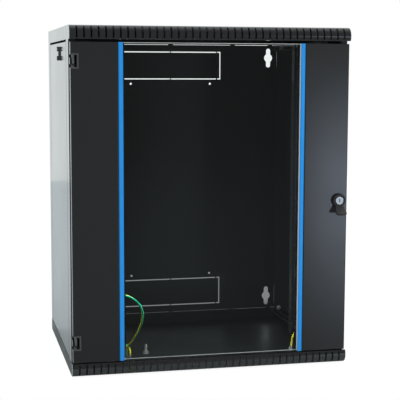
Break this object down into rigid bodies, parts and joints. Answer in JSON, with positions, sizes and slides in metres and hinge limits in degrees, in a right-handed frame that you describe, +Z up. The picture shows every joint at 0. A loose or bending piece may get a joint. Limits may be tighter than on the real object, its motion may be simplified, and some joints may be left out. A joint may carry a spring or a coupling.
{
  "type": "rack cabinet",
  "caption": "Wall-mount 19-inch rack cabinet in black sheet steel with a hinged glass door, side locks, vented rounded front edges, square-hole rails, cable knock-outs and keyhole wall slots",
  "frame": {"origin": "middle of the footprint on the underside", "axes": "+X to the right seen from the front, +Y to the back, +Z up"},
  "size_m": [0.612, 0.488, 0.73],
  "materials": {
    "black_paint": "semi-gloss black powder coat",
    "trim_blue": "glossy blue plastic",
    "glass": "clear toughened glass",
    "black_plastic": "satin black plastic",
    "chrome": "polished chrome",
    "zinc": "zinc-plated steel",
    "rubber": "black rubber",
    "wire": "green and yellow insulated wire"
  },
  "bodies": {
    "frame": {"top_cover": "black_paint", "bottom_cover": "black_paint", "top_vent_strip": "black_paint", "bottom_vent_strip": "black_paint", "left_front_post": "black_paint", "right_front_post": "black_paint", "left_rear_post": "black_paint", "right_rear_post": "black_paint", "rear_panel": "black_paint", "left_rail": "black_paint", "right_rail": "black_paint", "left_upper_bracket": "black_paint", "left_lower_bracket": "black_paint", "right_upper_bracket": "black_paint", "right_lower_bracket": "black_paint", "rail_bolts": "zinc", "rail_nuts": "zinc", "bracket_bolts": "zinc", "hinge_brackets": "black_paint", "door_buffers": "rubber", "floor_studs": "zinc", "floor_washers": "zinc", "floor_nuts": "zinc", "floor_lugs": "zinc", "door_earth_wire": "wire", "left_panel_wire": "wire", "right_panel_wire": "wire"},
    "door": {"door_left_stile": "black_paint", "door_right_stile": "black_paint", "door_glass": "glass", "glass_tapes": "rubber", "left_trim_strip": "trim_blue", "right_trim_strip": "trim_blue", "hinge_pockets": "black_plastic", "lock_housing": "black_plastic", "lock_nut": "zinc", "door_stud": "zinc", "door_stud_nut": "zinc", "door_lug": "zinc"},
    "upper_pin": {"upper_hinge_pin": "zinc"},
    "lower_pin": {"lower_hinge_pin": "zinc"},
    "lock": {"lock_handle": "black_plastic", "lock_cam": "zinc", "cam_screw": "zinc"},
    "key": {"key_plug": "chrome"},
    "left_panel": {"left_side_panel": "black_paint", "left_latch_plate": "black_plastic", "left_panel_stud": "zinc", "left_panel_nut": "zinc", "left_panel_lug": "zinc"},
    "left_latch": {"left_latch_knob": "black_plastic", "left_latch_cam": "zinc"},
    "right_panel": {"right_side_panel": "black_paint", "right_latch_plate": "black_plastic", "right_panel_stud": "zinc", "right_panel_nut": "zinc", "right_panel_lug": "zinc"},
    "right_latch": {"right_latch_knob": "black_plastic", "right_latch_cam": "zinc"}
  },
  "joints": [
    {"name": "door_swing", "type": "hinge", "parent": "frame", "child": "door", "pos_m": [-0.292, -0.2215, 0.365], "axis": [0, 0, -1], "range_deg": [0, 120], "deforming": ["door_earth_wire"]},
    {"name": "lock_turn", "type": "hinge", "parent": "door", "child": "lock", "pos_m": [0.2783, -0.233, 0.3605], "axis": [0, 1, 0], "range_deg": [0, 90]},
    {"name": "key_turn", "type": "hinge", "parent": "lock", "child": "key", "pos_m": [0.2783, -0.2345, 0.3605], "axis": [0, 1, 0], "range_deg": [0, 90]},
    {"name": "upper_pin_lift", "type": "slide", "parent": "door", "child": "upper_pin", "axis": [0, 0, 1], "range_m": [0, 0.0105]},
    {"name": "lower_pin_lift", "type": "slide", "parent": "door", "child": "lower_pin", "axis": [0, 0, 1], "range_m": [0, 0.0105]},
    {"name": "left_panel_tilt", "type": "hinge", "parent": "frame", "child": "left_panel", "pos_m": [-0.298, 0.0115, 0.0308], "axis": [0, -1, 0], "range_deg": [0, 30], "deforming": ["left_panel_wire"]},
    {"name": "left_latch_turn", "type": "hinge", "parent": "left_panel", "child": "left_latch", "pos_m": [-0.3, -0.0365, 0.684], "axis": [1, 0, 0], "range_deg": [0, 90]},
    {"name": "right_panel_tilt", "type": "hinge", "parent": "frame", "child": "right_panel", "pos_m": [0.298, 0.0115, 0.0308], "axis": [0, 1, 0], "range_deg": [0, 30], "deforming": ["right_panel_wire"]},
    {"name": "right_latch_turn", "type": "hinge", "parent": "right_panel", "child": "right_latch", "pos_m": [0.3, -0.0365, 0.684], "axis": [1, 0, 0], "range_deg": [0, 90]}
  ]
}
